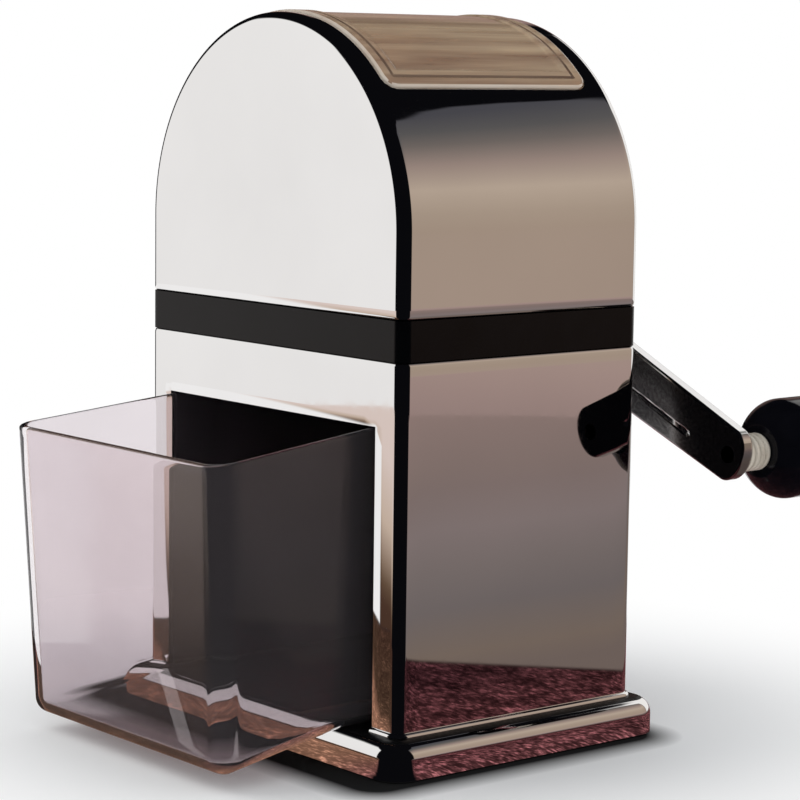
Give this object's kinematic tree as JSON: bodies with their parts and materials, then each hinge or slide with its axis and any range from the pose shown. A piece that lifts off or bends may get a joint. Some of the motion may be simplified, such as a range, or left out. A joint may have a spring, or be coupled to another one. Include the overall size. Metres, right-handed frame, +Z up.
{
  "type": "ice crusher",
  "caption": "Arch-topped metal ice crusher with a black band, a hinged clear lid over the hopper, a clear slide-out tray and a rear hand crank that turns a toothed rotor.",
  "frame": {"origin": "centre of the underside, on the surface the crusher stands on", "axes": "+Z up; -Y the front, where the tray slides out; +Y the crank side"},
  "size_m": [0.2037, 0.2311, 0.2508],
  "materials": {
    "rubber_pad": "matt black",
    "chromed_steel": "mirror polished plating",
    "black_band": "satin black moulding",
    "liner_plastic": "dark moulded",
    "clear_lid": "clear, faintly amber",
    "clear_tray": "clear polished",
    "tool_steel": "ground",
    "zinc_steel": "bright zinc",
    "bearing_bronze": "sintered bronze",
    "turned_alloy": "turned and polished",
    "black_knob": "gloss black"
  },
  "bodies": {
    "housing": {"back_bush": "bearing_bronze", "band_ring": "black_band", "base_pad": "rubber_pad", "base_plate": "chromed_steel", "cage_back_plate": "tool_steel", "cage_front_plate": "tool_steel", "cage_nuts": "zinc_steel", "cage_screws": "zinc_steel", "cage_tie_rods": "zinc_steel", "comb_left": "tool_steel", "comb_right": "tool_steel", "front_bush": "bearing_bronze", "hinge_leaf": "chromed_steel", "hinge_pin": "zinc_steel", "hinge_rivets": "chromed_steel", "hopper_liner": "liner_plastic", "lower_casing": "chromed_steel", "shaft_escutcheon": "chromed_steel", "tie_screws": "zinc_steel", "tray_bay_liner": "liner_plastic", "upper_casing": "chromed_steel"},
    "crank": {"rotor_shaft": "zinc_steel", "thrust_washers": "zinc_steel", "crank_arm": "chromed_steel", "crank_washer": "chromed_steel", "crank_cap_nut": "chromed_steel", "knob_stud": "zinc_steel", "knob_collar": "turned_alloy", "rotor_blade_1": "tool_steel", "rotor_blade_2": "tool_steel", "rotor_blade_3": "tool_steel", "rotor_blade_4": "tool_steel", "rotor_blade_5": "tool_steel", "rotor_spacer_1": "zinc_steel", "rotor_spacer_2": "zinc_steel", "rotor_spacer_3": "zinc_steel", "rotor_spacer_4": "zinc_steel", "rotor_spacer_5": "zinc_steel", "rotor_spacer_6": "zinc_steel"},
    "knob": {"knob": "black_knob", "knob_cap": "black_knob"},
    "lid": {"lid": "clear_lid"},
    "tray": {"tray": "clear_tray"}
  },
  "joints": [
    {"name": "crank_turn", "type": "hinge", "parent": "housing", "child": "crank", "pos_m": [0, 0, 0.1475], "axis": [0, 1, 0], "continuous": true},
    {"name": "knob_spin", "type": "hinge", "parent": "crank", "child": "knob", "pos_m": [0.10616, 0.09, 0.102], "axis": [0, 1, 0], "continuous": true},
    {"name": "lid_hinge", "type": "hinge", "parent": "housing", "child": "lid", "pos_m": [-0.0595, -0.0015, 0.22366], "axis": [0, -1, 0], "range_deg": [0, 105]},
    {"name": "tray_slide", "type": "slide", "parent": "housing", "child": "tray", "axis": [0, -1, 0], "range_m": [0, 0.11]}
  ]
}
